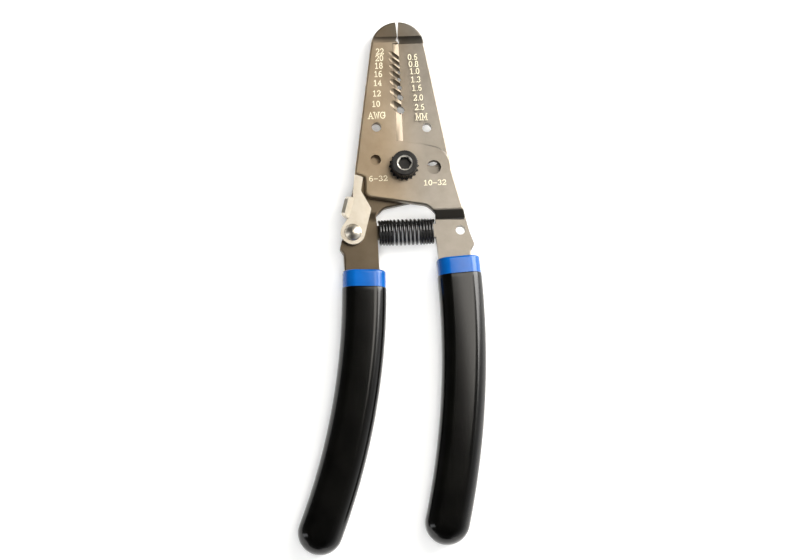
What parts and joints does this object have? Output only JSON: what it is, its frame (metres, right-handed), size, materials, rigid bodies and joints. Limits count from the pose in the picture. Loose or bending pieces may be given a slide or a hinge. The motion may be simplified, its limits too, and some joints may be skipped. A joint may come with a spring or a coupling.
{
  "type": "wire stripper",
  "caption": "Slim wire stripper: two lapped steel blades with graded notches, sprung socket-screw pivot, lock lever and curved dipped grips.",
  "frame": {"origin": "on the pivot axis, at the plane the tool lies on: the end face of the pivot screw", "axes": "+Y runs along the jaws to the nose, +Z out of the front face, +X to the right seen from the front"},
  "size_m": [0.0655, 0.1803, 0.0141],
  "materials": {
    "blade_steel": "blackened, satin",
    "black_oxide": "black oxide",
    "spring_wire": "oiled black",
    "bright_plating": "nickel plated",
    "blue_vinyl": "dipped vinyl, glossy",
    "black_vinyl": "dipped vinyl, glossy",
    "marking": "pale etched marking"
  },
  "bodies": {
    "right_half": {"front_blade": "blade_steel", "pivot_screw": "black_oxide", "pivot_washer": "black_oxide", "pivot_nut": "black_oxide", "return_spring": "spring_wire", "right_liner": "blue_vinyl", "right_grip": "black_vinyl"},
    "left_half": {"rear_blade": "blade_steel", "lever_rivet": "bright_plating", "lever_washer": "bright_plating", "left_liner": "blue_vinyl", "left_grip": "black_vinyl"},
    "lever": {"lock_lever": "bright_plating"}
  },
  "joints": [
    {"name": "handle_pivot", "type": "hinge", "parent": "right_half", "child": "left_half", "pos_m": [0, 0, 0], "axis": [0, 0, -1], "range_deg": [0, 20], "deforming": ["return_spring"]},
    {"name": "lever_pivot", "type": "hinge", "parent": "left_half", "child": "lever", "pos_m": [-0.0181, -0.0221, 0], "axis": [0, 0, 1], "range_deg": [0, 60]}
  ],
  "couplings": [
    {"joint": "lever_pivot", "follows": "handle_pivot", "ratio": 3}
  ]
}
